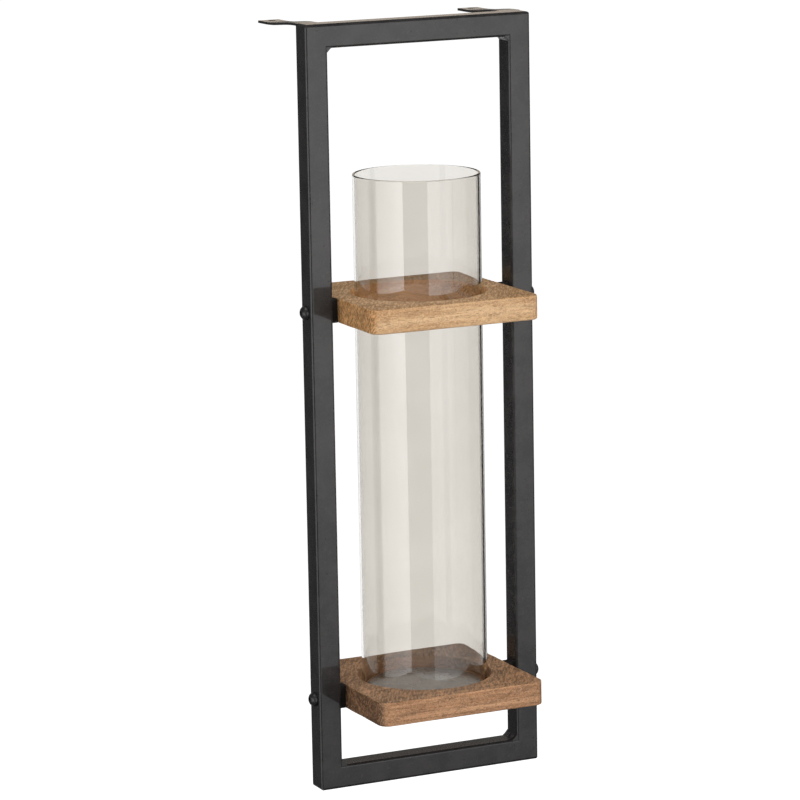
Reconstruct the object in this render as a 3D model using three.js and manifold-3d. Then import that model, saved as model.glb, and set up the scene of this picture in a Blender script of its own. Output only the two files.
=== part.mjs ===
// Wall sconce candle holder: a welded frame of square steel tube that carries two wooden trays.
// A tall glass chimney stands round a steel plate sunk in the lower tray and passes up through the
// upper one.
//
// Millimetres. The origin is on the wall, midway between the hanger straps, level with the top of
// the frame. +X is to the right seen from the room, +Y goes into the wall and +Z is up.

import * as THREE from 'three';
import { mergeVertices } from 'three/addons/utils/BufferGeometryUtils.js';
import Module from 'manifold-3d';

const wasm = await Module();
wasm.setup();

// Frame
const frameWidth = 194;
const frameHeight = 610;
const tubeSize = 19;
const tubeWall = 1.5;
const tubeCornerRadius = 2.25;
const frameCornerRadius = 3;
const wallReach = 92;
const upperWeldLeg = 3.5;
const lowerWeldLeg = 4.8;
const filletWaist = 0.45;
const cornerWeldInset = 0.4;
const cornerWeldRoot = 2.25;

// Hanger straps
const strapWidth = 18;
const strapThickness = 2;
const strapDrop = 3.5;
const strapLevelEnd = 14;
const strapSteps = 12;
const strapHoleRadius = 3.2;
const strapWeldLeg = 3;
const strapWeldGap = 0.05;
const flushWeldReach = 1.5;

// Trays
const trayWidth = 144;
const trayThickness = 19.5;
const trayCornerRadius = 9;
const trayEdgeRadius = 1.5;
const holeRadius = 53.5;
const upperTrayHeight = 385;
const lowerTrayHeight = 73.75;
const recessDepth = 10;

// Candle plate and glass chimney
const plateRadius = 46;
const plateThickness = 2;
const plateEdge = 0.5;
const glassRadius = 50.5;
const glassWall = 2;
const glassTopHeight = 488;

// Screws and the spacers they clamp
const spacerDepth = 8;
const spacerHeight = 19;
const spacerEdgeRadius = 0.75;
const screwHeadRadius = 5.6;
const screwHeadHeight = 5.1;
const screwRimHeight = 0.8;
const shankRadius = 2.4;
const boreRadius = 2.7;
const screwBite = 12;
const tipLength = 4;
const socketWidth = 4;
const socketDepth = 2;

// Smoothness of round shapes
const roundSegments = 72;
const smallSegments = 18;
const cornerSegments = 4;
const edgeSegments = 3;

// Places worked out from the sizes above
const tubeMiddleY = -wallReach + tubeSize / 2;
const tubeBackY = -wallReach + tubeSize;
const postX = (frameWidth - tubeSize) / 2;
const innerX = frameWidth / 2 - tubeSize;
const spacerLength = innerX - trayWidth / 2;
const upperTrayZ = upperTrayHeight - frameHeight;
const lowerTrayZ = lowerTrayHeight - frameHeight;
const recessFloorZ = lowerTrayZ + trayThickness / 2 - recessDepth;
const glassTopZ = glassTopHeight - frameHeight;

const paint = { color: 0x34332f, roughness: 0.42, metalness: 0.0 };
const screwBlack = { color: 0x262422, roughness: 0.35, metalness: 0.3 };
const plateBlack = { color: 0x2a2523, roughness: 0.3, metalness: 0.2 };
const honeyWood = { color: 0xb98c5c, roughness: 0.6, metalness: 0.0 };
const brownWood = { color: 0xa47a52, roughness: 0.6, metalness: 0.0 };
const clearGlass = { color: 0xe9e6de, roughness: 0.05, metalness: 0.0, transparent: true, opacity: 0.3 };

// Turns a closed three.js geometry into a solid that can be cut and joined.
function solid(geometry) {
  const bare = geometry.clone();
  bare.deleteAttribute('normal');
  bare.deleteAttribute('uv');
  const merged = mergeVertices(bare, 1e-4);
  return new wasm.Manifold(new wasm.Mesh({
    numProp: 3,
    vertProperties: merged.attributes.position.array,
    triVerts: new Uint32Array(merged.index.array),
  }));
}

function geometryOf(manifold) {
  const mesh = manifold.getMesh();
  const geometry = new THREE.BufferGeometry();
  geometry.setAttribute('position', new THREE.BufferAttribute(mesh.vertProperties, 3));
  geometry.setIndex(new THREE.BufferAttribute(mesh.triVerts, 1));
  geometry.computeVertexNormals();
  return geometry;
}

function part(name, geometry, look) {
  const mesh = new THREE.Mesh(geometry, new THREE.MeshStandardMaterial(look));
  mesh.name = name;
  return mesh;
}

// A rectangle centred on the origin, with round corners.
function roundedRectangle(width, height, radius) {
  const x = width / 2;
  const y = height / 2;
  const shape = new THREE.Shape();
  shape.moveTo(x - radius, -y);
  shape.absarc(x - radius, -y + radius, radius, -Math.PI / 2, 0);
  shape.absarc(x - radius, y - radius, radius, 0, Math.PI / 2);
  shape.absarc(-x + radius, y - radius, radius, Math.PI / 2, Math.PI);
  shape.absarc(-x + radius, -y + radius, radius, Math.PI, Math.PI * 1.5);
  return shape;
}

// Extrudes a flat outline; the result is centred on the origin along Z.
function prism(shape, length, curveSegments = cornerSegments) {
  const options = { depth: length, bevelEnabled: false, curveSegments };
  return new THREE.ExtrudeGeometry(shape, options).translate(0, 0, -length / 2);
}

// An outline drawn in X and Z, extruded along Y and centred on y = 0.
function slabAlongY(shape, length, curveSegments) {
  return prism(shape, length, curveSegments).rotateX(Math.PI / 2);
}

// An outline drawn in Y and Z, extruded along X and centred on x = 0.
function slabAlongX(shape, length, curveSegments) {
  return prism(shape, length, curveSegments).rotateX(Math.PI / 2).rotateZ(Math.PI / 2);
}

// A round bar along X, centred on the origin.
function rodAlongX(radius, length) {
  return new THREE.CylinderGeometry(radius, radius, length, smallSegments).rotateZ(Math.PI / 2);
}

// A round bar along Z, centred on the origin.
function rodAlongZ(radius, length, segments) {
  return new THREE.CylinderGeometry(radius, radius, length, segments).rotateX(Math.PI / 2);
}

// The front outline of one tube of the frame. Half the length is measured along the outer edge, which
// lies on y = 0; the ends are mitred at 45 degrees and the outer corners are ground round.
function mitredOutline(halfLength) {
  const r = frameCornerRadius;
  const shape = new THREE.Shape();
  shape.moveTo(-halfLength + tubeSize, -tubeSize);
  shape.lineTo(halfLength - tubeSize, -tubeSize);
  shape.absarc(halfLength - r, -r, r, Math.PI / 4, Math.PI / 2);
  shape.absarc(-halfLength + r, -r, r, Math.PI / 2, Math.PI * 0.75);
  return shape;
}

// A mitred, hollow square tube of the frame, lying along X with its outer side on z = 0.
function frameTube(length, drillings) {
  const overrun = 2 * tubeSize;
  const skin = roundedRectangle(tubeSize, tubeSize, tubeCornerRadius);
  const boreSize = tubeSize - 2 * tubeWall;
  const bore = roundedRectangle(boreSize, boreSize, tubeCornerRadius - tubeWall);
  const alongX = (shape) => slabAlongX(shape, length + overrun).translate(0, 0, -tubeSize / 2);
  let tube = solid(slabAlongY(mitredOutline(length / 2), overrun));
  tube = tube.intersect(solid(alongX(skin))).subtract(solid(alongX(bore)));
  for (const x of drillings) {
    const drill = rodAlongZ(boreRadius, 2 * overrun, smallSegments).translate(x, 0, 0);
    tube = tube.subtract(solid(drill));
  }
  return geometryOf(tube);
}

function rails() {
  const top = part('top_rail', frameTube(frameWidth, []), paint);
  top.position.set(0, tubeMiddleY, 0);
  const bottom = part('bottom_rail', frameTube(frameWidth, []), paint);
  bottom.rotation.y = Math.PI;
  bottom.position.set(0, tubeMiddleY, -frameHeight);
  return [top, bottom];
}

// Each post is drilled right through, once for each tray. A tube turned upright has its own +X
// pointing down on the right-hand side and up on the left-hand side.
function post(name, side) {
  const centreZ = -frameHeight / 2;
  const drillings = [upperTrayZ, lowerTrayZ].map((z) => -side * (z - centreZ));
  const tube = part(name, frameTube(frameHeight, drillings), paint);
  tube.rotation.y = side * Math.PI / 2;
  tube.position.set(side * frameWidth / 2, tubeMiddleY, centreZ);
  return tube;
}

// Outline of a weld fillet: two legs on the joined faces, a slightly hollow front and a root that
// may lie behind the corner.
function filletOutline(leg, signX, signZ, root) {
  const waist = filletWaist * leg;
  const shape = new THREE.Shape();
  shape.moveTo(-signX * root, -signZ * root);
  shape.lineTo(signX * leg, 0);
  shape.quadraticCurveTo(signX * waist, signZ * waist, 0, signZ * leg);
  return shape;
}

// The fillet in one inner corner of the frame. Its root fills the hollow between the round edges of
// the two tubes, so that its front and back are nearly flush with theirs.
function cornerWeld(side, up, leg) {
  const skin = roundedRectangle(tubeSize, tubeSize, tubeCornerRadius);
  const rail = slabAlongX(skin, 2 * tubeSize).translate(0, 0, -up * tubeSize / 2);
  const upright = prism(skin, 2 * tubeSize).translate(side * tubeSize / 2, 0, 0);
  const outline = filletOutline(leg, -side, up, cornerWeldRoot);
  const blank = solid(slabAlongY(outline, tubeSize - 2 * cornerWeldInset));
  return geometryOf(blank.subtract(solid(rail)).subtract(solid(upright)));
}

function cornerWelds() {
  const levels = [
    ['upper', -tubeSize, -1, upperWeldLeg],
    ['lower', -frameHeight + tubeSize, 1, lowerWeldLeg],
  ];
  const welds = [];
  for (const [level, z, up, leg] of levels) {
    for (const [hand, side] of [['left', -1], ['right', 1]]) {
      const weld = part(`${level}_${hand}_corner_weld`, cornerWeld(side, up, leg), paint);
      weld.position.set(side * innerX, tubeMiddleY, z);
      welds.push(weld);
    }
  }
  return welds;
}

// Height of the strap's upper face: level at the frame, down in a smooth step, level at the wall.
function strapHeight(y) {
  const along = THREE.MathUtils.clamp((y - tubeBackY) / (wallReach - tubeSize - strapLevelEnd), 0, 1);
  return -strapDrop * (1 - Math.cos(Math.PI * along)) / 2;
}

// Side outline of a strap, in Y and Z. Its front end laps the tube's round edge, where the weld is
// ground flush, and stops short of a feather edge.
function strapOutline() {
  const ys = [tubeBackY - flushWeldReach];
  for (let i = 0; i <= strapSteps; i += 1) {
    ys.push(tubeBackY - (tubeBackY + strapLevelEnd) * (i / strapSteps));
  }
  ys.push(0);
  const upper = ys.map((y) => new THREE.Vector2(y, strapHeight(y)));
  const lower = ys.map((y) => new THREE.Vector2(y, strapHeight(y) - strapThickness));
  return new THREE.Shape([...lower, ...upper.reverse()]);
}

// Cuts the hole in the level end of a strap, for the pin of a wall hook.
function strapDrill() {
  return rodAlongZ(strapHoleRadius, 4 * strapDrop, smallSegments).translate(0, -strapLevelEnd / 2, 0);
}

function hangerStrap(name, side) {
  const tube = slabAlongX(roundedRectangle(tubeSize, tubeSize, tubeCornerRadius), 2 * tubeSize);
  tube.translate(0, tubeMiddleY, -tubeSize / 2);
  const blank = solid(slabAlongX(strapOutline(), strapWidth));
  const strap = part(name, geometryOf(blank.subtract(solid(tube)).subtract(solid(strapDrill()))), paint);
  strap.position.x = side * postX;
  return strap;
}

// The fillet under a strap, where it meets the back of its post.
function strapWeld(name, side) {
  const outline = filletOutline(strapWeldLeg, 1, -1, 0);
  const weld = part(name, slabAlongX(outline, strapWidth - 2 * tubeCornerRadius), paint);
  weld.position.set(side * postX, tubeBackY, -strapThickness - strapWeldGap);
  return weld;
}

// A square board with round corners and eased edges, centred on the origin.
function trayBoard() {
  const geometry = new THREE.ExtrudeGeometry(roundedRectangle(trayWidth, trayWidth, trayCornerRadius), {
    depth: trayThickness - 2 * trayEdgeRadius,
    bevelThickness: trayEdgeRadius,
    bevelSize: trayEdgeRadius,
    bevelOffset: -trayEdgeRadius,
    bevelSegments: edgeSegments,
    curveSegments: cornerSegments,
  });
  geometry.translate(0, 0, -trayThickness / 2 + trayEdgeRadius);
  let board = solid(geometry);
  for (const side of [-1, 1]) {
    const depth = screwBite + 1;
    const pilot = rodAlongX(boreRadius, 2 * depth).translate(side * trayWidth / 2, 0, 0);
    board = board.subtract(solid(pilot));
  }
  return board;
}

function upperTray() {
  const hole = rodAlongZ(holeRadius, 2 * trayThickness, roundSegments);
  const tray = part('upper_tray', geometryOf(trayBoard().subtract(solid(hole))), honeyWood);
  tray.position.set(0, tubeMiddleY, upperTrayZ);
  return tray;
}

function lowerTray() {
  const recess = rodAlongZ(holeRadius, trayThickness, roundSegments);
  recess.translate(0, 0, trayThickness - recessDepth);
  const tray = part('lower_tray', geometryOf(trayBoard().subtract(solid(recess))), brownWood);
  tray.position.set(0, tubeMiddleY, lowerTrayZ);
  return tray;
}

function candlePlate() {
  const profile = [
    new THREE.Vector2(0, 0),
    new THREE.Vector2(plateRadius - plateEdge, 0),
    new THREE.Vector2(plateRadius, plateEdge),
    new THREE.Vector2(plateRadius, plateThickness - plateEdge),
    new THREE.Vector2(plateRadius - plateEdge, plateThickness),
    new THREE.Vector2(0, plateThickness),
  ];
  const plate = part('candle_plate', new THREE.LatheGeometry(profile, roundSegments), plateBlack);
  plate.geometry.rotateX(Math.PI / 2);
  plate.position.set(0, tubeMiddleY, recessFloorZ);
  return plate;
}

// An open-ended glass tube whose two rims are melted round. It stands on the floor of the recess.
function glassChimney() {
  const height = glassTopZ - recessFloorZ;
  const rimRadius = glassWall / 2;
  const middle = glassRadius - rimRadius;
  const profile = [];
  for (const [centre, start] of [[rimRadius, -Math.PI], [height - rimRadius, 0]]) {
    for (let i = 0; i <= cornerSegments; i += 1) {
      const angle = start + Math.PI * (i / cornerSegments);
      const point = new THREE.Vector2(middle, centre);
      point.x += rimRadius * Math.cos(angle);
      point.y += rimRadius * Math.sin(angle);
      profile.push(point);
    }
  }
  profile.push(profile[0].clone());
  const glass = part('glass_chimney', new THREE.LatheGeometry(profile, roundSegments), clearGlass);
  glass.geometry.rotateX(Math.PI / 2);
  glass.position.set(0, tubeMiddleY, recessFloorZ);
  return glass;
}

// A drilled block that fills the space between a post and the side of a tray.
function spacer(name, side, z) {
  const shape = roundedRectangle(spacerDepth, spacerHeight, spacerEdgeRadius);
  shape.holes.push(new THREE.Path().absarc(0, 0, boreRadius, 0, 2 * Math.PI, true));
  const block = part(name, slabAlongX(shape, spacerLength, smallSegments), paint);
  block.position.set(side * (innerX - spacerLength / 2), tubeMiddleY, z);
  return block;
}

// A dome-headed screw along X. The head's flat underside is on x = 0 and the dome rises towards +X.
function screwGeometry() {
  const length = tubeSize + spacerLength + screwBite;
  const profile = [
    new THREE.Vector2(0, -length),
    new THREE.Vector2(shankRadius, -length + tipLength),
    new THREE.Vector2(shankRadius, 0),
    new THREE.Vector2(screwHeadRadius, 0),
  ];
  for (let i = 0; i < cornerSegments; i += 1) {
    const angle = (Math.PI / 2) * (i / cornerSegments);
    const height = screwRimHeight + (screwHeadHeight - screwRimHeight) * Math.sin(angle);
    profile.push(new THREE.Vector2(screwHeadRadius * Math.cos(angle), height));
  }
  profile.push(new THREE.Vector2(0, screwHeadHeight));
  const screw = solid(new THREE.LatheGeometry(profile, smallSegments));
  const socketRadius = socketWidth / Math.sqrt(3);
  const socket = new THREE.CylinderGeometry(socketRadius, socketRadius, 2 * socketDepth, 6);
  socket.translate(0, screwHeadHeight, 0);
  return geometryOf(screw.subtract(solid(socket))).rotateZ(-Math.PI / 2);
}

function screw(name, side, z) {
  const fastener = part(name, screwGeometry(), screwBlack);
  fastener.rotation.z = side > 0 ? 0 : Math.PI;
  fastener.position.set(side * frameWidth / 2, tubeMiddleY, z);
  return fastener;
}

const sconce = new THREE.Group();
sconce.add(...rails(), ...cornerWelds(), upperTray(), lowerTray(), candlePlate(), glassChimney());
for (const [hand, side] of [['left', -1], ['right', 1]]) {
  sconce.add(post(`${hand}_post`, side));
  sconce.add(hangerStrap(`${hand}_hanger_strap`, side));
  sconce.add(strapWeld(`${hand}_strap_weld`, side));
  for (const [level, z] of [['upper', upperTrayZ], ['lower', lowerTrayZ]]) {
    sconce.add(spacer(`${level}_${hand}_spacer`, side, z));
    sconce.add(screw(`${level}_${hand}_screw`, side, z));
  }
}

export default sconce;
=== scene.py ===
"""Looks of the wall sconce candle holder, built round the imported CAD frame.

Metres, in the frame's own axes: the wall is the plane y = 0, the room lies towards -Y and +Z is up.
Each piece takes its place from the CAD node that it stands for and rides on that node's body.
"""

from math import cos, pi, radians, sin, sqrt

import bmesh
import bpy
from mathutils import Matrix, Vector, noise


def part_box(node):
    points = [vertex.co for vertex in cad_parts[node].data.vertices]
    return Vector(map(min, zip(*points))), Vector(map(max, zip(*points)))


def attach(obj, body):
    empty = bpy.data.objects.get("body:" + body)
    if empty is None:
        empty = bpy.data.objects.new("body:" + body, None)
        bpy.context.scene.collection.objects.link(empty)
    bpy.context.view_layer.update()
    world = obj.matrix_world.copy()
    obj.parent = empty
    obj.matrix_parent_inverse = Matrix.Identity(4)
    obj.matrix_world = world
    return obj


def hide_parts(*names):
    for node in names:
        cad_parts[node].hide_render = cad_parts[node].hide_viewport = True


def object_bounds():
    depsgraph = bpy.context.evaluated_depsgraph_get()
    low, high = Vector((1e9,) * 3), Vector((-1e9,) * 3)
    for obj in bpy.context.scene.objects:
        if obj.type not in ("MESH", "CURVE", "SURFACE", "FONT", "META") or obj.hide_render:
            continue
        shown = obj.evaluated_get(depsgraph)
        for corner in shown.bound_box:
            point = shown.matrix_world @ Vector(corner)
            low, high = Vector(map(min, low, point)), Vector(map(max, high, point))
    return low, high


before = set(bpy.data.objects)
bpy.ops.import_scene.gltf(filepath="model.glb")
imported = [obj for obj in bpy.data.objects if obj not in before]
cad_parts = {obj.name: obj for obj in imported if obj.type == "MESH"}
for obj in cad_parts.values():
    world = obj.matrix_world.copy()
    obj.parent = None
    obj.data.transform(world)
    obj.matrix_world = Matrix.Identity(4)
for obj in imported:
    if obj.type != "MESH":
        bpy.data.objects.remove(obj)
cad_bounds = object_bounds()

MM = 0.001

# Camera: where it looks, how far off it stands and how the picture is framed
VIEW_YAW = radians(25.19)
VIEW_PITCH = radians(10.92)
VIEW_ROLL = radians(-1.03)
VIEW_DISTANCE = 3.132
VIEW_LENS = 177.6
AIM_LEFT = 15.9 * MM
AIM_UP = 1.5 * MM

# Steel tube, straps and welds
TUBE_WALL = 1.5 * MM
TUBE_CORNER = 2.25 * MM
FRAME_CORNER = 3 * MM
SCREW_BORE = 2.7 * MM
WELD_WAIST = 0.35
WELD_ROOT = 0.2 * MM
CORNER_WELD_ROOT = 2.25 * MM
WELD_EDGE = 1 * MM
WELD_TAPER = 0.15
WELD_RIPPLE = 0.22
WELD_LUMP = 0.25
BEAD_PITCH = 2.6 * MM
STRAP_THICKNESS = 2 * MM
STRAP_LEVEL_END = 14 * MM
STRAP_LAP = 2.2 * MM
STRAP_EDGE = 0.35 * MM
STRAP_HOLE = 3.2 * MM

# Wooden trays
TRAY_CORNER = 9 * MM
TRAY_EDGE = 1.4 * MM
HOLE_RADIUS = 53.5 * MM
HOLE_RIM = 1.3 * MM
RECESS_DEPTH = 10 * MM
RECESS_FILLET = 0.8 * MM
TRAY_SLICES = 480

# Plate, glass, screws and spacers
PLATE_EDGE = 0.5 * MM
GLASS_WALL = 2 * MM
GLASS_WAVE = 0.07 * MM
HEAD_HEIGHT = 5.06 * MM
HEAD_RIM = 0.8 * MM
HEAD_EDGE = 0.15 * MM
SHANK_RADIUS = 2.4 * MM
THREAD_DEPTH = 0.35 * MM
THREAD_PITCH = 1.2 * MM
THREADED_LENGTH = 11 * MM
SCREW_TIP = 4 * MM
SOCKET_WIDTH = 4 * MM
SOCKET_DEPTH = 2 * MM
SPACER_EDGE = 0.75 * MM

# Floor and softboxes, in metres
FLOOR_RADIUS = 90
FLOOR_DROP = 0.55
LIGHT_DISTANCE = 2.2
FILL_DISTANCE = 2.4
KEY_TURN = 42
FILL_TURN = -48

X = Vector((1, 0, 0))
Y = Vector((0, 1, 0))
Z = Vector((0, 0, 1))


# ---------------------------------------------------------------- geometry helpers

def steps(start, end, count):
    """count + 1 even values from start to end, both included."""
    return [start + (end - start) * i / count for i in range(count + 1)]


def rounded_rectangle(width, height, radius, arc_steps=8):
    """Points of a rectangle with round corners, centred on the origin, counter-clockwise."""
    points = []
    for quarter in range(4):
        middle = quarter * pi / 2 + pi / 4
        centre_u = (width / 2 - radius) * (1 if cos(middle) > 0 else -1)
        centre_v = (height / 2 - radius) * (1 if sin(middle) > 0 else -1)
        for angle in steps(quarter * pi / 2, (quarter + 1) * pi / 2, arc_steps):
            points.append((centre_u + radius * cos(angle), centre_v + radius * sin(angle)))
    return points


def circle(radius, sides):
    """(u, v) points at even steps round a circle."""
    return [(radius * cos(a), radius * sin(a)) for a in steps(0, 2 * pi, sides)[:-1]]


def add_ring(bm, points):
    return [bm.verts.new(p) for p in points]


def skin(bm, rings, closed=False):
    """Faces from each ring to the next; closed also joins the last ring to the first."""
    following = rings[1:] + (rings[:1] if closed else [])
    for ring, after in zip(rings, following):
        for i in range(len(ring)):
            j = (i + 1) % len(ring)
            bm.faces.new((ring[i], ring[j], after[j], after[i]))


def cap(bm, rings):
    """Closes both ends of a row of rings."""
    bm.faces.new(list(reversed(rings[0])))
    bm.faces.new(rings[-1])


def tidy(bm):
    bmesh.ops.remove_doubles(bm, verts=bm.verts, dist=0.0001 * MM)
    bmesh.ops.dissolve_degenerate(bm, edges=bm.edges, dist=0.0001 * MM)
    bmesh.ops.recalc_face_normals(bm, faces=bm.faces)


def to_object(name, bm):
    tidy(bm)
    mesh = bpy.data.meshes.new(name)
    bm.to_mesh(mesh)
    bm.free()
    obj = bpy.data.objects.new(name, mesh)
    bpy.context.scene.collection.objects.link(obj)
    return obj


def bake_modifiers(obj):
    """Replaces the mesh by what its modifiers make of it."""
    bpy.context.view_layer.update()
    graph = bpy.context.evaluated_depsgraph_get()
    obj.data = bpy.data.meshes.new_from_object(obj.evaluated_get(graph))
    obj.modifiers.clear()


def cut_away(obj, cutter):
    """Takes the cutter's volume out of the piece, and removes the cutter."""
    boolean = obj.modifiers.new("cut", "BOOLEAN")
    boolean.operation = "DIFFERENCE"
    boolean.solver = "EXACT"
    boolean.object = cutter
    bake_modifiers(obj)
    bpy.data.objects.remove(cutter)


def publish(obj, node, body, material, sharp=38):
    """Shades a finished piece and puts it in the place of its CAD node."""
    obj.data.materials.clear()
    obj.data.materials.append(material)
    obj.data.shade_smooth()
    obj.data.set_sharp_from_angle(angle=radians(sharp))
    weighted = obj.modifiers.new("flat_faces_stay_flat", "WEIGHTED_NORMAL")
    weighted.keep_sharp = True
    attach(obj, body)
    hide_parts(node)
    return obj


def rod(name, radius, start, end, sides=32):
    """A plain round bar between two points, for cutting holes."""
    bm = bmesh.new()
    along = (end - start).normalized()
    turn = along.to_track_quat("Z", "Y")
    rim = [turn @ Vector((u, v, 0)) for u, v in circle(radius, sides)]
    rings = [add_ring(bm, [point + r for r in rim]) for point in (start, end)]
    skin(bm, rings)
    cap(bm, rings)
    return to_object(name, bm)


def lathe(bm, profile, place, sides, closed=False):
    """Turns (radius, height) points about Z, then moves them by the matrix."""
    rings = []
    for radius, height in profile:
        rings.append(add_ring(bm, [place @ Vector((u, v, height)) for u, v in circle(radius, sides)]))
    skin(bm, rings, closed)


def round_edge(centre_u, centre_v, radius, start, end, count):
    """Points of an arc in degrees, as (u, v) pairs."""
    arc = steps(radians(start), radians(end), count)
    return [(centre_u + radius * cos(a), centre_v + radius * sin(a)) for a in arc]


# ---------------------------------------------------------------- steel frame

def tube_point(origin, along, outward, distance, depth, across):
    return origin + along * distance - outward * depth + Y * across


def mitred_tube(name, length, origin, along, outward):
    """A hollow square tube whose outer side passes through the origin, mitred at both ends.
    Its outer corners are ground round, so the end follows an arc before it meets the mitre."""
    bm = bmesh.new()
    outer = rounded_rectangle(tube_size, tube_size, TUBE_CORNER)
    bore = tube_size - 2 * TUBE_WALL
    inner = rounded_rectangle(bore, bore, TUBE_CORNER - TUBE_WALL)
    half = length / 2
    turns = steps(pi / 4, pi / 2, 6)

    def outer_ring(turn, end):
        reach = half - FRAME_CORNER + FRAME_CORNER * cos(turn)
        shallowest = FRAME_CORNER * (1 - sin(turn))
        points = []
        for across, height in outer:
            depth = max(tube_size / 2 - height, shallowest)
            distance = min(reach, half - depth)
            points.append(tube_point(origin, along, outward, end * distance, depth, across))
        return add_ring(bm, points)

    def inner_ring(end):
        points = []
        for across, height in inner:
            depth = tube_size / 2 - height
            points.append(tube_point(origin, along, outward, end * (half - depth), depth, across))
        return add_ring(bm, points)

    rings = [outer_ring(turn, -1) for turn in turns]
    rings += [outer_ring(turn, 1) for turn in reversed(turns)]
    rings += [inner_ring(1), inner_ring(-1)]
    skin(bm, rings, closed=True)
    return to_object(name, bm)


def make_frame():
    width = frame_hi.x - frame_lo.x
    height = frame_hi.z - frame_lo.z
    middle_z = (frame_hi.z + frame_lo.z) / 2
    tubes = {
        "top_rail": (width, Vector((0, tube_y, frame_hi.z)), X, Z),
        "bottom_rail": (width, Vector((0, tube_y, frame_lo.z)), -X, -Z),
        "left_post": (height, Vector((frame_lo.x, tube_y, middle_z)), Z, -X),
        "right_post": (height, Vector((frame_hi.x, tube_y, middle_z)), -Z, X),
    }
    for node, (length, origin, along, outward) in tubes.items():
        tube = mitred_tube(node + "_tube", length, origin, along, outward)
        if node.endswith("post"):
            for tray in ("upper_tray", "lower_tray"):
                hole = Vector((origin.x, tube_y, centre_of(tray).z))
                reach = X * 2 * tube_size
                cut_away(tube, rod("drill", SCREW_BORE, hole - reach, hole + reach))
        publish(tube, node, "frame", frame_paint)


def hollow_front(here, leg_a, leg_b, leg, waist):
    """Points of a fillet's front, on a curve from one toe to the other that is drawn in at its waist."""
    points = []
    for q in steps(0, 1, 8):
        a = leg * (1 - q) ** 2 + 2 * q * (1 - q) * waist
        b = leg * q ** 2 + 2 * q * (1 - q) * waist
        points.append(here + leg_a * a + leg_b * b)
    return points


def weld(name, node, corner, leg_a, leg_b, along, root_depth, seed):
    """A fillet of weld metal in a corner: two legs on the joined faces and a rippled hollow front.
    The root reaches into the steel, as a weld does, and the bead gets smaller at its two ends."""
    bm = bmesh.new()
    lo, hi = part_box(node)
    length = abs((hi - lo).dot(along))
    middle = (lo + hi).dot(along) / 2
    size = max((end - corner).dot(leg) for end in (lo, hi) for leg in (leg_a, leg_b))
    edge_depth = min(root_depth, WELD_EDGE)
    base = corner - along * corner.dot(along) + along * middle
    rings = []
    for share in steps(-1, 1, 36):
        distance = share * length / 2
        fade = 1 - WELD_TAPER + WELD_TAPER * (1 - abs(share) ** 8) ** 0.5
        ripple = 0.5 + 0.5 * cos(2 * pi * distance / BEAD_PITCH + seed)
        lump = noise.noise(Vector((distance / BEAD_PITCH, seed * 3.7, 0.5)))
        leg = size * fade * (0.94 + 0.04 * lump)
        waist = leg * WELD_WAIST * (1 + WELD_RIPPLE * ripple + WELD_LUMP * lump)
        here = base + along * distance
        front = hollow_front(here, leg_a, leg_b, leg, waist)
        root = here - (leg_a + leg_b) * root_depth
        edge_a = here + leg_a * leg - leg_b * edge_depth
        edge_b = here + leg_b * leg - leg_a * edge_depth
        rings.append(add_ring(bm, [root, edge_a, *front, edge_b]))
    skin(bm, rings)
    cap(bm, rings)
    publish(to_object(name, bm), node, "frame", frame_paint, sharp=50)


def make_corner_welds():
    for level, up in (("upper", -1), ("lower", 1)):
        for hand, side in (("left", -1), ("right", 1)):
            inner_x = side * (frame_hi.x - tube_size)
            inner_z = frame_hi.z - tube_size if up < 0 else frame_lo.z + tube_size
            corner = Vector((inner_x, 0, inner_z))
            node = f"{level}_{hand}_corner_weld"
            weld(node + "_bead", node, corner, X * -side, Z * up, Y, CORNER_WELD_ROOT, up + 2.3 * side)


def strap_top(y, back, low):
    """Height of a strap's upper face: level at the frame, down in a smooth step, level at the wall."""
    along = (y - back) / (-STRAP_LEVEL_END - back)
    along = min(max(along, 0), 1)
    return frame_hi.z - low * (1 - cos(pi * along)) / 2


def make_strap(hand, side):
    node = f"{hand}_hanger_strap"
    lo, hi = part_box(node)
    back = tube_y + tube_size / 2
    low = hi.z - lo.z - STRAP_THICKNESS
    width = hi.x - lo.x
    middle_x = (lo.x + hi.x) / 2
    bm = bmesh.new()
    section = rounded_rectangle(width, STRAP_THICKNESS, STRAP_EDGE, 4)
    rings = []
    for y in [back - STRAP_LAP, *steps(back, -STRAP_EDGE, 40)]:
        middle_z = strap_top(y, back, low) - STRAP_THICKNESS / 2
        rings.append(add_ring(bm, [Vector((middle_x + u, y, middle_z + v)) for u, v in section]))
    end = [vertex.co + Y * STRAP_EDGE for vertex in rings[-1]]
    middle = sum(end, Vector()) / len(end)
    drawn_in = Vector((1 - 2 * STRAP_EDGE / width, 1, 1 - 2 * STRAP_EDGE / STRAP_THICKNESS))
    rings.append(add_ring(bm, [middle + (point - middle) * drawn_in for point in end]))
    skin(bm, rings)
    cap(bm, rings)
    strap = to_object(node + "_bar", bm)
    hole = Vector((middle_x, -STRAP_LEVEL_END / 2, lo.z))
    cut_away(strap, rod("drill", STRAP_HOLE, hole - Z * tube_size, hole + Z * tube_size))
    publish(strap, node, "frame", frame_paint)
    corner = Vector((0, back, frame_hi.z - STRAP_THICKNESS))
    weld_node = f"{hand}_strap_weld"
    weld(weld_node + "_bead", weld_node, corner, Y, -Z, X, WELD_ROOT, 5.1 * side)


# ---------------------------------------------------------------- wooden trays

def ray_to_outline(angle, half, radius, inset):
    """Distance from the middle of a round-cornered square to its outline, drawn in by the inset."""
    long_side = max(abs(cos(angle)), abs(sin(angle)))
    short_side = min(abs(cos(angle)), abs(sin(angle)))
    straight = (half - inset) / long_side
    corner = half - radius
    if straight * short_side <= corner:
        return straight
    towards = corner * (long_side + short_side)
    return towards + sqrt(towards ** 2 - 2 * corner ** 2 + (radius - inset) ** 2)


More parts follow.
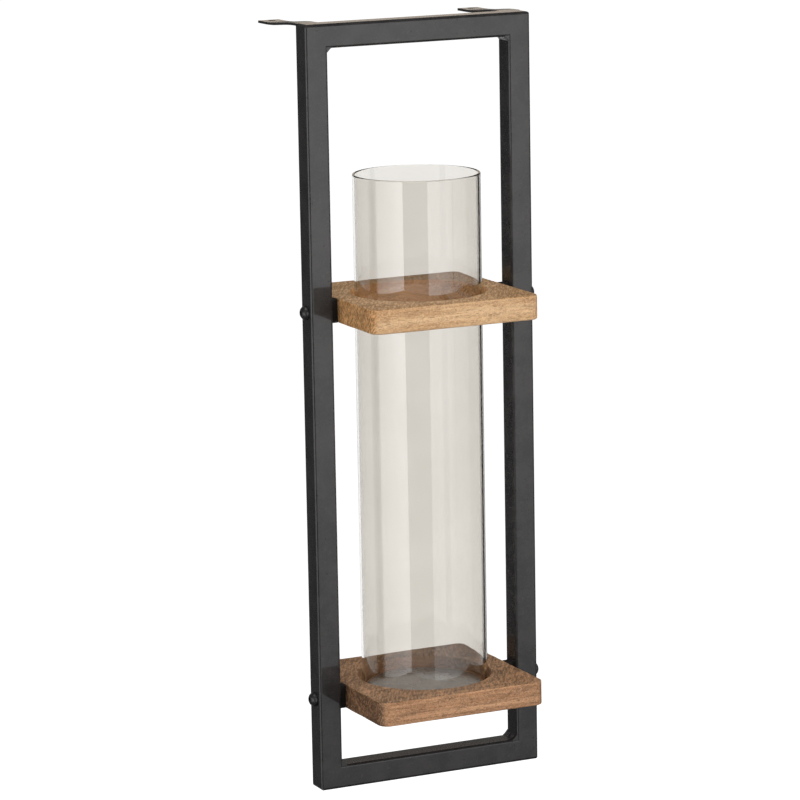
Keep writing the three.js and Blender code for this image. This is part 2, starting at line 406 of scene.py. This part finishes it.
def worn(size, angle, seed, amount):
    """An edge radius that hand sanding left uneven, the same after each full turn."""
    spot = Vector((cos(angle), sin(angle), 0))
    wave = noise.noise(spot * 2.2 + Vector((seed, 0, 0)))
    fine = noise.noise(spot * 11 + Vector((0, seed, 0)))
    return size * (1 + amount * (wave + 0.6 * fine))


def tray_slice(angle, half, thickness, seed, recessed):
    """(distance from the middle, height) points of one upright cut, from the middle of the tray
    out over its top, down its side and back underneath."""
    top = thickness / 2
    ease = worn(TRAY_EDGE, angle, seed, 0.5)
    rim = worn(HOLE_RIM, angle, seed + 4, 0.5)
    wall_top = round_edge(HOLE_RADIUS + rim, top - rim, rim, 180, 90, 5)

    def outer(inset, height):
        return ray_to_outline(angle, half, TRAY_CORNER, inset), height

    upper_edge = [outer(ease * (1 - sin(b)), top - ease * (1 - cos(b))) for b in steps(0, pi / 2, 5)]
    lower_edge = [outer(ease * (1 - sin(b)), -top + ease * (1 - cos(b))) for b in steps(pi / 2, 0, 5)]
    side = [outer(0, height) for height in steps(top - ease, -top + ease, 8)[1:-1]]
    across = steps(wall_top[-1][0], upper_edge[0][0], 16)[1:-1]
    top_face = [(distance, top) for distance in across]
    if recessed:
        floor = top - RECESS_DEPTH
        floor_radius = HOLE_RADIUS - RECESS_FILLET
        fillet = round_edge(floor_radius, floor + RECESS_FILLET, RECESS_FILLET, -90, 0, 4)
        inside = [(distance, floor) for distance in steps(0, floor_radius, 10)[:-1]]
        wall = [(HOLE_RADIUS, height) for height in steps(floor + RECESS_FILLET, top - rim, 5)[1:-1]]
        inside += fillet + wall
        under = [(distance, -top) for distance in steps(lower_edge[-1][0], 0, 24)[1:]]
    else:
        wall_foot = round_edge(HOLE_RADIUS + rim, -top + rim, rim, 270, 180, 5)
        wall = [(HOLE_RADIUS, height) for height in steps(-top + rim, top - rim, 10)[1:-1]]
        inside = wall_foot + wall
        under = [(distance, -top) for distance in reversed(across)]
    return inside + wall_top + top_face + upper_edge + side + lower_edge + under


def carve_surface(obj, seed):
    """Sinks the faces by a few hundredths of a millimetre, more along the grain's soft lines."""
    normals = [vertex.normal.copy() for vertex in obj.data.vertices]
    for vertex, normal in zip(obj.data.vertices, normals):
        place = vertex.co / MM
        hollow = 0.5 + 0.5 * noise.noise(place * 0.045 + Vector((seed, 0, 0)))
        line = 0.5 + 0.5 * noise.noise(Vector((place.x * 0.02 + seed, place.y * 0.45, place.z * 0.45)))
        vertex.co -= normal * (0.16 * hollow + 0.07 * line) * MM


def make_tray(node, material, recessed, seed):
    lo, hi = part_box(node)
    centre = (lo + hi) / 2
    half = (hi.x - lo.x) / 2
    bm = bmesh.new()
    slices = []
    for angle in steps(0, 2 * pi, TRAY_SLICES)[:-1]:
        outward = Vector((cos(angle), sin(angle), 0))
        points = tray_slice(angle, half, hi.z - lo.z, seed, recessed)
        slices.append(add_ring(bm, [centre + outward * reach + Z * height for reach, height in points]))
    for one, other in zip(slices, slices[1:] + slices[:1]):
        count = len(one)
        last = count - 1 if recessed else count
        for i in range(last):
            j = (i + 1) % count
            bm.faces.new((one[i], other[i], other[j], one[j]))
    tray = to_object(node + "_board", bm)
    carve_surface(tray, seed)
    publish(tray, node, "frame", material, sharp=60)


# ---------------------------------------------------------------- plate, glass, screws and spacers

def make_plate():
    lo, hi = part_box("candle_plate")
    centre = (lo + hi) / 2
    radius = (hi.x - lo.x) / 2
    thickness = hi.z - lo.z
    profile = [(0, 0)]
    profile += round_edge(radius - PLATE_EDGE, PLATE_EDGE, PLATE_EDGE, -90, 0, 5)
    profile += round_edge(radius - PLATE_EDGE, thickness - PLATE_EDGE, PLATE_EDGE, 0, 90, 5)
    profile += [(share * (radius - PLATE_EDGE), thickness) for share in (0.85, 0.6, 0.3)]
    profile += [(0, thickness)]
    bm = bmesh.new()
    lathe(bm, profile, Matrix.Translation((centre.x, centre.y, lo.z)), 160)
    publish(to_object("candle_plate_disc", bm), "candle_plate", "frame", plate_enamel)


def make_glass():
    """A drawn glass tube with fire-polished rims, whose walls wander by less than a tenth of a
    millimetre. It casts no shadow, so that the trays and the plate behind it get light."""
    lo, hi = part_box("glass_chimney")
    centre = (lo + hi) / 2
    radius = (hi.x - lo.x) / 2
    height = hi.z - lo.z
    half_wall = GLASS_WALL / 2
    middle = radius - half_wall
    outside = [(radius, h) for h in steps(half_wall, height - half_wall, 90)[1:-1]]
    inside = [(radius - GLASS_WALL, h) for h in steps(height - half_wall, half_wall, 90)[1:-1]]
    profile = round_edge(middle, half_wall, half_wall, -180, 0, 12) + outside
    profile += round_edge(middle, height - half_wall, half_wall, 0, 180, 12) + inside
    bm = bmesh.new()
    lathe(bm, profile, Matrix.Translation((centre.x, centre.y, lo.z)), 200, closed=True)
    glass = to_object("glass_chimney_tube", bm)
    for vertex in glass.data.vertices:
        out = Vector((vertex.co.x - centre.x, vertex.co.y - centre.y, 0))
        turn = out.normalized()
        is_outer = out.length > middle
        spot = Vector((turn.x * 1.6, turn.y * 1.6, vertex.co.z / MM * 0.006 + (0 if is_outer else 7)))
        wander = 0.5 + 0.5 * noise.noise(spot)
        vertex.co -= turn * wander * GLASS_WAVE
    glass.visible_shadow = False
    publish(glass, "glass_chimney", "chimney", clear_glass, sharp=80)


def screw_profile(head_radius, length):
    """(radius, height) points from the tip to the crown; the head's flat underside is at height 0."""
    thread_top = SCREW_TIP + THREADED_LENGTH
    profile = [(0, -length), (SHANK_RADIUS * 0.5, -length + SCREW_TIP * 0.5)]
    turns = int((thread_top - SCREW_TIP * 0.5) / THREAD_PITCH)
    for i in range(turns):
        foot = -length + SCREW_TIP * 0.5 + i * THREAD_PITCH
        grown = min(1, 0.5 + i * THREAD_PITCH / SCREW_TIP)
        profile.append((SHANK_RADIUS * grown - THREAD_DEPTH, foot + THREAD_PITCH * 0.25))
        profile.append((SHANK_RADIUS * grown, foot + THREAD_PITCH * 0.75))
    profile += [(SHANK_RADIUS, -length + thread_top + THREAD_PITCH), (SHANK_RADIUS, 0)]
    profile += [(head_radius - HEAD_EDGE, 0), (head_radius, HEAD_EDGE)]
    for a in steps(0, pi / 2, 14)[:-1]:
        profile.append((head_radius * cos(a), HEAD_RIM + (HEAD_HEIGHT - HEAD_RIM) * sin(a)))
    profile.append((0, HEAD_HEIGHT))
    return profile


def make_screw(node, side, turn):
    lo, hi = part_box(node)
    middle = (lo + hi) / 2
    head_radius = (hi.z - lo.z) / 2
    length = frame_hi.x - min(abs(lo.x), abs(hi.x))
    seat = Vector((frame_hi.x * side, middle.y, middle.z))
    place = Matrix.Translation(seat) @ (X * side).to_track_quat("Z", "Y").to_matrix().to_4x4()
    place = place @ Matrix.Rotation(turn, 4, "Z")
    bm = bmesh.new()
    lathe(bm, screw_profile(head_radius, length), place, 64)
    screw = to_object(node + "_fastener", bm)
    bm = bmesh.new()
    socket_radius = SOCKET_WIDTH / sqrt(3)
    depths = [(socket_radius * 1.02, 2 * HEAD_HEIGHT), (socket_radius, HEAD_HEIGHT - SOCKET_DEPTH)]
    rings = []
    for radius, height in depths:
        rings.append(add_ring(bm, [place @ Vector((u, v, height)) for u, v in circle(radius, 6)]))
    skin(bm, rings)
    cap(bm, rings)
    cut_away(screw, to_object("socket", bm))
    publish(screw, node, "frame", screw_black, sharp=40)


def make_spacer(node):
    lo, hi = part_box(node)
    centre = (lo + hi) / 2
    size = hi - lo
    bm = bmesh.new()
    section = rounded_rectangle(size.y, size.z, SPACER_EDGE, 5)
    rings = []
    for x in (lo.x, hi.x):
        rings.append(add_ring(bm, [Vector((x, centre.y + u, centre.z + v)) for u, v in section]))
    skin(bm, rings)
    cap(bm, rings)
    spacer = to_object(node + "_block", bm)
    reach = X * size.x
    cut_away(spacer, rod("drill", SCREW_BORE, centre - reach, centre + reach))
    publish(spacer, node, "frame", black_spacer_paint_and_gap_shade)


# ---------------------------------------------------------------- materials

class Nodes:
    """Short calls for one material's node tree. Places are the piece's own, in millimetres."""

    def __init__(self, name):
        self.material = bpy.data.materials.new(name)
        self.material.use_nodes = True
        self.tree = self.material.node_tree
        self.shader = self.tree.nodes["Principled BSDF"].inputs
        place = self.add("TexCoord").outputs["Object"]
        self.place = self.scaled(place, (1 / MM, 1 / MM, 1 / MM))
        self.normal = self.add("NewGeometry").outputs["Normal"]

    def put(self, socket, value):
        if isinstance(value, bpy.types.NodeSocket):
            self.tree.links.new(value, socket)
        else:
            socket.default_value = value

    def add(self, kind, inputs=None, **settings):
        node = self.tree.nodes.new("ShaderNode" + kind)
        for key, value in settings.items():
            setattr(node, key, value)
        for key, value in (inputs or {}).items():
            self.put(node.inputs[key], value)
        return node

    def math(self, operation, a, b=0.0, c=0.0):
        return self.add("Math", {0: a, 1: b, 2: c}, operation=operation).outputs[0]

    def length(self, a, b):
        """Length of the long side of a right triangle whose short sides are a and b."""
        squares = self.math("ADD", self.math("MULTIPLY", a, a), self.math("MULTIPLY", b, b))
        return self.math("SQRT", squares)

    def scaled(self, vector, factors):
        return self.add("VectorMath", {0: vector, 1: factors}, operation="MULTIPLY").outputs[0]

    def shifted(self, vector, offset):
        return self.add("VectorMath", {0: vector, 1: offset}, operation="ADD").outputs[0]

    def turned(self, vector, angles):
        return self.add("Mapping", {"Vector": vector, "Rotation": angles}).outputs[0]

    def parts(self, vector):
        return self.add("SeparateXYZ", {0: vector}).outputs

    def noise(self, vector, scale, detail=3.0, roughness=0.55, distortion=0.0):
        inputs = {"Vector": vector, "Scale": scale, "Detail": detail}
        inputs.update({"Roughness": roughness, "Distortion": distortion})
        return self.add("TexNoise", inputs).outputs["Fac"]

    def cells(self, vector, scale):
        return self.add("TexVoronoi", {"Vector": vector, "Scale": scale}).outputs["Distance"]

    def band(self, value, low, high, start=0.0, end=1.0):
        """Runs smoothly from start to end as the value goes from low to high."""
        inputs = {"Value": value, "From Min": low, "From Max": high, "To Min": start, "To Max": end}
        return self.add("MapRange", inputs, interpolation_type="SMOOTHSTEP").outputs[0]

    def mix(self, factor, a, b, blend_type="MIX"):
        inputs = {0: factor, 6: a, 7: b}
        return self.add("Mix", inputs, data_type="RGBA", blend_type=blend_type).outputs[2]

    def blend(self, factor, a, b):
        """A plain mixture of two values: a where the factor is 0 and b where it is 1."""
        return self.add("Mix", {0: factor, 2: a, 3: b}, data_type="FLOAT").outputs[0]

    def bump(self, height, distance, strength=1.0, normal=None):
        inputs = {"Height": height, "Distance": distance, "Strength": strength}
        if normal is not None:
            inputs["Normal"] = normal
        return self.add("Bump", inputs).outputs[0]


def rgb(red, green, blue):
    return (red, green, blue, 1.0)


def make_paint():
    """Charcoal powder coat: a semi-gloss skin with a fine orange peel and a faint cloudiness."""
    n = Nodes("charcoal_powder_coat")
    clouds = n.noise(n.place, 0.06, 4)
    grit = n.noise(n.place, 0.9, 2)
    tone = n.mix(n.band(clouds, 0.3, 0.7), rgb(0.017, 0.0155, 0.0155), rgb(0.028, 0.026, 0.0255))
    dusty = n.band(n.noise(n.place, 0.35, 5, 0.7), 0.55, 0.75, 0.0, 0.55)
    tone = n.mix(dusty, tone, rgb(0.055, 0.051, 0.047))
    pits = n.band(n.cells(n.place, 0.11), 0.04, 0.08, 1.0, 0.0)
    n.put(n.shader["Base Color"], n.mix(pits, tone, rgb(0.008, 0.007, 0.006)))
    satin = n.band(clouds, 0.3, 0.7, 0.24, 0.3)
    n.put(n.shader["Roughness"], n.math("ADD", satin, n.band(grit, 0.3, 0.7, -0.02, 0.03)))
    n.shader["Specular IOR Level"].default_value = 0.1
    n.shader["Coat Weight"].default_value = 0.38
    n.shader["Coat Roughness"].default_value = 0.05
    peel = n.bump(n.noise(n.place, 0.75, 1), 0.03 * MM)
    pitted = n.bump(pits, -0.12 * MM, normal=peel)
    n.put(n.shader["Normal"], n.bump(n.noise(n.place, 3.5, 2), 0.005 * MM, normal=pitted))
    return n.material


def make_black_spacer_paint_and_gap_shade():
    """Flat black paint, rolled on thinly, darker than the frame's: partly the spacers' own black, partly
    painted shade of the gap between post and tray.
    """
    n = Nodes("flat_black_and_gap_shade")
    clouds = n.noise(n.place, 0.4, 3)
    # Darker than the frame paint, so the tone also paints the shade in the gap
    n.put(n.shader["Base Color"], n.mix(clouds, rgb(0.009, 0.008, 0.007), rgb(0.018, 0.015, 0.013)))
    n.put(n.shader["Roughness"], n.band(clouds, 0.3, 0.7, 0.75, 0.85))
    n.shader["Specular IOR Level"].default_value = 0.2
    n.put(n.shader["Normal"], n.bump(n.noise(n.place, 2.0, 2), 0.02 * MM))
    return n.material


def make_screw_black():
    """Black oxide on steel, rubbed a little brighter where a key has worn it."""
    n = Nodes("black_oxide")
    rub = n.band(n.noise(n.place, 0.8, 4), 0.45, 0.75)
    n.put(n.shader["Base Color"], n.mix(rub, rgb(0.018, 0.017, 0.017), rgb(0.05, 0.047, 0.044)))
    n.put(n.shader["Roughness"], n.band(rub, 0, 1, 0.38, 0.28))
    n.shader["Metallic"].default_value = 0.25
    n.put(n.shader["Normal"], n.bump(n.noise(n.place, 2.2, 3), 0.01 * MM))
    return n.material


def make_plate_enamel():
    """Brown-black stove enamel under a thin uneven film of dust."""
    n = Nodes("plate_enamel")
    film = n.noise(n.place, 0.05, 5, 0.6)
    base = n.mix(n.band(film, 0.35, 0.7), rgb(0.032, 0.024, 0.019), rgb(0.062, 0.048, 0.039))
    n.put(n.shader["Base Color"], base)
    n.put(n.shader["Roughness"], n.band(film, 0.3, 0.7, 0.2, 0.3))
    n.shader["Coat Weight"].default_value = 0.4
    n.shader["Coat Roughness"].default_value = 0.12
    n.put(n.shader["Normal"], n.bump(n.noise(n.place, 0.08, 1), 0.003 * MM))
    return n.material


def make_glass_material():
    """Clear soda glass with a faint smoky warmth."""
    n = Nodes("clear_glass")
    haze = n.noise(n.place, 0.02, 4)
    tint = n.mix(n.band(haze, 0.3, 0.7), rgb(0.79, 0.768, 0.728), rgb(0.815, 0.793, 0.757))
    n.put(n.shader["Base Color"], tint)
    n.put(n.shader["Roughness"], n.band(haze, 0.4, 0.8, 0.0, 0.02))
    n.shader["Transmission Weight"].default_value = 1.0
    n.shader["IOR"].default_value = 1.5
    return n.material


def growth_rings(n, place, seed):
    """Late wood of the rings round a wandering pith, which runs along X below the board."""
    wander = n.noise(n.scaled(place, (0.008, 0.02, 0.02)), 1.0, 3)
    own = n.parts(n.place)
    across = n.math("ADD", own[1], n.math("MULTIPLY_ADD", wander, 46.0, 30.0))
    upward = n.math("ADD", own[2], n.math("MULTIPLY_ADD", wander, 30.0, 640.0 + seed * 20))
    rings = n.math("SINE", n.math("MULTIPLY", n.length(across, upward), 1.35))
    return n.band(rings, 0.1, 1.0)


def leaning(n, place, lean, turns, stretches, roughness):
    """Short flecks that lean one way where lean is 0 and the other way where it is 1."""
    flecks = []
    for turn, stretch in zip(turns, stretches):
        flecks.append(n.noise(n.scaled(n.turned(place, turn), stretch), 1.0, 3, roughness))
    return n.blend(lean, *flecks)


def board_tone(n, place, tones, streak, endwise, upper, top_weathering_and_shade):
    """The board's colours before its grain: streaked faces, end grain, a fresher and redder hole wall,
    which was cut and oiled later, and a top face that weathered in patches. The end grain colour also
    paints how brightly the board's left and right sides are lit, and the weathered top, laid thinly over
    every top face, is also painted shade."""
    east, north = n.parts(n.shifted(n.place, (0, -tube_y / MM, 0)))[:2]
    reach = n.length(east, north)
    hole = HOLE_RADIUS / MM
    # Weathered patches on the tops, never below 0.3, so every top face also gets a little painted shade
    weathered_patch_and_shade = n.band(n.noise(place, 0.035, 5, 0.6), 0.36, 0.62, 0.3, 1.0)
    tone = n.mix(n.band(streak, 0.32, 0.68), tones["body"], tones["pale"])
    # End grain colour, which also paints how brightly the left and right sides are lit
    tone = n.mix(n.math("MULTIPLY", endwise, 0.8), tone, tones["end"])
    tone = n.mix(n.band(reach, hole + 0.4, hole + 1.6, 0.6, 0.0), tone, tones["cut"])
    return n.mix(n.math("MULTIPLY", n.math("MULTIPLY", upper, weathered_patch_and_shade), top_weathering_and_shade), tone, tones["top"])


def make_wood(name, tones, seed, top_weathering_and_shade, ring_contrast, dashing):
    """Open-grained hardwood, sanded and oiled. The grain runs along X, so the left and right sides
    are end grain."""
    pale = tones["pale"]
    dark = tones["dark"]
    n = Nodes(name)
    place = n.shifted(n.place, (seed * 37.0, seed * 11.0, seed * 5.0))
    facing = n.parts(n.normal)
    endwise = n.band(n.math("ABSOLUTE", facing[0]), 0.45, 0.95)
    upper = n.band(facing[2], 0.5, 0.95)

    # Fibres, streaks, pores and dashes drawn out along X, and slanting stains
    fibre = n.noise(n.scaled(place, (0.05, 1.5, 1.5)), 1.0, 4, 0.65)
    streak = n.noise(n.scaled(place, (0.012, 0.22, 0.22)), 1.0, 4, 0.6)
    pores = n.band(n.noise(n.scaled(place, (0.22, 2.2, 2.2)), 1.0, 2, 0.5), 0.6, 0.7)
    dashes = n.noise(n.scaled(place, (0.3, 1.3, 1.3)), 1.0, 3, 0.6)
    stain = n.noise(n.scaled(n.turned(place, (0.2, 0.12, 0.3)), (0.025, 0.05, 0.12)), 1.0, 5, 0.7)

    # Figure whose flecks lean one way in some bands of the board and back in others, and grain lines on
    # the tops with pale flecks that paint a sheen
    lean = n.band(n.noise(n.scaled(place, (0.03, 0.03, 0.09)), 1.0, 1), 0.42, 0.58)
    ripple_turns = (-0.6, -0.6, 0.4), (0.5, 0.65, 0.5)
    ripple = leaning(n, place, lean, ripple_turns, ((1.2, 0.4, 0.6), (1.3, 0.4, 0.6)), 0.65)
    herringbone = leaning(n, place, lean, ((-0.6, 0, 0), (0.6, 0, 0)), ((0.3, 1.1, 0.3),) * 2, 0.6)
    top_grain_and_painted_sheen = n.noise(n.scaled(n.turned(place, (0, 0, 0.5)), (0.6, 0.1, 0.4)), 1.0, 5, 0.7)

    tone = board_tone(n, place, tones, streak, endwise, upper, top_weathering_and_shade)
    tone = n.mix(n.math("MULTIPLY", growth_rings(n, place, seed), ring_contrast), tone, dark)
    tone = n.mix(n.band(stain, 0.5, 0.66, 0.0, 0.5), tone, dark)
    tone = n.mix(n.band(fibre, 0.35, 0.7, 0.3, 0.0), tone, dark)
    tone = n.mix(n.band(ripple, 0.5, 0.64, 0.0, 0.55), tone, pale)
    tone = n.mix(n.band(ripple, 0.34, 0.48, 0.35, 0.0), tone, dark)
    tone = n.mix(n.band(dashes, 0.34, 0.46, dashing, 0.0), tone, dark)
    tone = n.mix(n.math("MULTIPLY", endwise, n.band(herringbone, 0.42, 0.54, 0.85, 0.0)), tone, dark)
    tone = n.mix(n.math("MULTIPLY", endwise, n.band(herringbone, 0.5, 0.62, 0.0, 0.45)), tone, pale)
    # Dark grain lines on the tops
    tone = n.mix(n.math("MULTIPLY", upper, n.band(top_grain_and_painted_sheen, 0.4, 0.54, 0.62, 0.0)), tone, dark)
    # Pale flecks on the tops: a painted sheen
    tone = n.mix(n.math("MULTIPLY", upper, n.band(top_grain_and_painted_sheen, 0.5, 0.62, 0.0, 0.5)), tone, pale)
    tone = n.mix(n.math("MULTIPLY", pores, 0.75), tone, dark)

    n.put(n.shader["Base Color"], tone)
    n.put(n.shader["Roughness"], n.band(streak, 0.3, 0.7, 0.62, 0.5))
    n.shader["Specular IOR Level"].default_value = 0.2
    fine = n.bump(n.math("SUBTRACT", fibre, n.math("MULTIPLY", pores, 0.9)), 0.12 * MM)
    n.put(n.shader["Normal"], n.bump(ripple, 0.2 * MM, normal=fine))
    return n.material


# ---------------------------------------------------------------- camera, floor and light

def make_camera():
    level = Vector((sin(VIEW_YAW), cos(VIEW_YAW), 0))
    forward = level * cos(VIEW_PITCH) - Z * sin(VIEW_PITCH)
    right = Vector((cos(VIEW_YAW), -sin(VIEW_YAW), 0))
    up = right.cross(forward)
    data = bpy.data.cameras.new("camera")
    data.lens = VIEW_LENS
    data.clip_end = 200
    camera = bpy.data.objects.new("camera", data)
    bpy.context.scene.collection.objects.link(camera)
    aim = frame_middle - right * AIM_LEFT + up * AIM_UP
    tilted_right = right * cos(VIEW_ROLL) + up * sin(VIEW_ROLL)
    tilted_up = up * cos(VIEW_ROLL) - right * sin(VIEW_ROLL)
    turn = Matrix((tilted_right, tilted_up, -forward)).transposed()
    camera.matrix_world = Matrix.Translation(aim - forward * VIEW_DISTANCE) @ turn.to_4x4()
    bpy.context.scene.camera = camera


def make_floor():
    """A wide pale floor well below the sconce, which hangs on a wall."""
    below = cad_bounds[0].z - FLOOR_DROP
    bm = bmesh.new()
    bm.faces.new(add_ring(bm, [Vector((u, v, below)) for u, v in circle(FLOOR_RADIUS, 48)]))
    floor = to_object("floor", bm)
    n = Nodes("pale_floor")
    mottled = n.noise(n.place, 0.002, 3)
    n.put(n.shader["Base Color"], n.mix(mottled, rgb(0.3, 0.3, 0.3), rgb(0.33, 0.33, 0.33)))
    n.shader["Roughness"].default_value = 0.9
    n.shader["Emission Color"].default_value = rgb(1, 1, 1)
    n.shader["Emission Strength"].default_value = 1.0
    floor.data.materials.append(n.material)
    floor.visible_glossy = False
    floor.visible_diffuse = False


def around(turn, lift, distance):
    """A point round the sconce. The turn is from straight behind the camera, to the camera's right."""
    heading = VIEW_YAW - radians(turn)
    flat = Vector((-sin(heading), -cos(heading), 0))
    return frame_middle + flat * distance * cos(radians(lift)) + Z * distance * sin(radians(lift))


def softbox(name, turn, lift, distance, size, power, colour=(1, 1, 1), mirrored=True, lights=True):
    """A soft rectangular light that faces the sconce. Unless mirrored, it shows in no reflection;
    unless it lights, it shows in reflections only."""
    data = bpy.data.lights.new(name, "AREA")
    data.shape = "RECTANGLE"
    data.size, data.size_y = size
    data.energy = power
    data.color = colour
    light = bpy.data.objects.new(name, data)
    bpy.context.scene.collection.objects.link(light)
    light.location = around(turn, lift, distance)
    light.rotation_mode = "QUATERNION"
    light.rotation_quaternion = (frame_middle - light.location).to_track_quat("-Z", "Y")
    light.visible_camera = False
    light.visible_transmission = False
    light.visible_glossy = mirrored
    light.visible_diffuse = lights
    return light


def dim_edges(light, upward, across):
    """Lets a softbox glow less towards its foot and one side, as a cloth lit from its middle does.
    upward and across each give the place of the dim edge, the place where the glow is full, and the
    edge's share of it. Places run from 0 to 1 over the softbox, upward from its foot, and across it
    from its side on the camera's left."""
    light.data.use_nodes = True
    tree = light.data.node_tree
    place = tree.nodes.new("ShaderNodeSeparateXYZ")
    tree.links.new(tree.nodes.new("ShaderNodeNewGeometry").outputs["Parametric"], place.inputs[0])
    product = tree.nodes.new("ShaderNodeMath")
    product.operation = "MULTIPLY"
    for socket, axis, ramp in zip(product.inputs, "YX", (upward, across)):
        fade = tree.nodes.new("ShaderNodeMapRange")
        for setting, value in zip(("From Min", "From Max", "To Min"), ramp):
            fade.inputs[setting].default_value = value
        tree.links.new(place.outputs[axis], fade.inputs["Value"])
        tree.links.new(fade.outputs[0], socket)
    tree.links.new(product.outputs[0], tree.nodes["Emission"].inputs["Strength"])


def make_lights():
    """The key and the fill are each set apart in a softbox that lights the surfaces and softboxes that
    paint and glass mirror. The mirrored ones stay low, so upright faces show them and top faces do not."""
    softbox("key", KEY_TURN, 12, LIGHT_DISTANCE, (1.9, 2.1), 45, mirrored=False)
    key_mirror = softbox("key_mirror", KEY_TURN, -9, LIGHT_DISTANCE, (1.9, 1.7), 31, lights=False)
    dim_edges(key_mirror, upward=(0, 0.6, 0.1), across=(1, 0.65, 0.6))
    key_wing = softbox("key_wing", KEY_TURN + 41, -9, LIGHT_DISTANCE, (1.3, 1.7), 11, lights=False)
    dim_edges(key_wing, upward=(0, 0.6, 0.1), across=(1, 0.1, 0.3))

    softbox("fill", FILL_TURN, 6, FILL_DISTANCE, (2.5, 2.5), 35, mirrored=False)
    fill_mirror = softbox("fill_mirror", FILL_TURN - 10, -13, FILL_DISTANCE, (3.1, 1.5), 70, lights=False)
    dim_edges(fill_mirror, upward=(0, 0.7, 0.35), across=(0, 0.85, 0.05))

    softbox("overhead", 0, 75, LIGHT_DISTANCE, (1.6, 1.6), 18)
    softbox("back_top", 180, 26, LIGHT_DISTANCE, (1.6, 0.8), 8, mirrored=False)
    softbox("wall_glow", 180, 15, LIGHT_DISTANCE, (1.6, 0.35), 1.45, colour=(1, 0.84, 0.68))
    softbox("backdrop", -160, -12, LIGHT_DISTANCE, (0.8, 1.6), 4)


def make_world():
    """White to the eye and to every ray that leaves the glass, and dim all round to other rays."""
    world = bpy.data.worlds.new("studio")
    bpy.context.scene.world = world
    world.use_nodes = True
    tree = world.node_tree
    background = tree.nodes["Background"]
    background.inputs["Color"].default_value = rgb(0.95, 0.97, 1.0)
    background.inputs["Strength"].default_value = 0.12
    seen = tree.nodes.new("ShaderNodeBackground")
    seen.inputs["Color"].default_value = rgb(1, 1, 1)
    seen.inputs["Strength"].default_value = 1.0
    path = tree.nodes.new("ShaderNodeLightPath")
    either = tree.nodes.new("ShaderNodeMath")
    either.operation = "MAXIMUM"
    tree.links.new(path.outputs["Is Camera Ray"], either.inputs[0])
    tree.links.new(path.outputs["Is Transmission Ray"], either.inputs[1])
    choose = tree.nodes.new("ShaderNodeMixShader")
    tree.links.new(either.outputs[0], choose.inputs[0])
    tree.links.new(background.outputs[0], choose.inputs[1])
    tree.links.new(seen.outputs[0], choose.inputs[2])
    tree.links.new(choose.outputs[0], tree.nodes["World Output"].inputs["Surface"])


# ---------------------------------------------------------------- the whole sconce

def centre_of(node):
    lo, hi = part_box(node)
    return (lo + hi) / 2


frame_lo = Vector((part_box("left_post")[0].x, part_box("left_post")[0].y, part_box("bottom_rail")[0].z))
frame_hi = Vector((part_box("right_post")[1].x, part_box("right_post")[1].y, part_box("top_rail")[1].z))
tube_size = frame_hi.y - frame_lo.y
tube_y = (frame_lo.y + frame_hi.y) / 2
frame_middle = (frame_lo + frame_hi) / 2

# Wood colours: streaks, body and pores of the board, its end grain, weathered top and cut hole wall. The
# end grain colours also paint the light on the honey board's sides and the shade on the brown board's
# sides, and the weathered top also lays painted shade over every top face.
HONEY = {
    "pale": rgb(0.82, 0.55, 0.31),
    "body": rgb(0.60, 0.35, 0.17),
    "dark": rgb(0.22, 0.11, 0.045),
    # End grain, brightened to a glowing orange as painted light on the board's sides
    "end": rgb(0.95, 0.44, 0.125),
    # Weathered top, which also lays a little painted shade over every top face
    "top": rgb(0.40, 0.22, 0.085),
    "cut": rgb(0.86, 0.36, 0.11),
}
BROWN = {
    "pale": rgb(0.645, 0.36, 0.19),
    "body": rgb(0.425, 0.212, 0.104),
    "dark": rgb(0.085, 0.045, 0.024),
    # End grain, darkened nearly to black as painted shade on the board's sides
    "end": rgb(0.08, 0.037, 0.015),
    # Weathered top, which also lays a little painted shade over every top face
    "top": rgb(0.30, 0.175, 0.09),
    "cut": rgb(0.46, 0.25, 0.13),
}

frame_paint = make_paint()
black_spacer_paint_and_gap_shade = make_black_spacer_paint_and_gap_shade()
screw_black = make_screw_black()
plate_enamel = make_plate_enamel()
clear_glass = make_glass_material()
honey_wood = make_wood("honey_wood", HONEY, seed=1.0, top_weathering_and_shade=0.8, ring_contrast=0.12, dashing=0.25)
brown_wood = make_wood("brown_wood", BROWN, seed=2.0, top_weathering_and_shade=0.85, ring_contrast=0.2, dashing=0.5)

make_camera()
make_frame()
make_corner_welds()
for hand, side in (("left", -1), ("right", 1)):
    make_strap(hand, side)
    for level in ("upper", "lower"):
        make_spacer(f"{level}_{hand}_spacer")
        make_screw(f"{level}_{hand}_screw", side, turn=side * (0.4 if level == "upper" else 0.9))
make_tray("upper_tray", honey_wood, recessed=False, seed=3.0)
make_tray("lower_tray", brown_wood, recessed=True, seed=8.0)
make_plate()
make_glass()

make_floor()
make_world()
make_lights()

bpy.context.scene.view_settings.view_transform = "Standard"
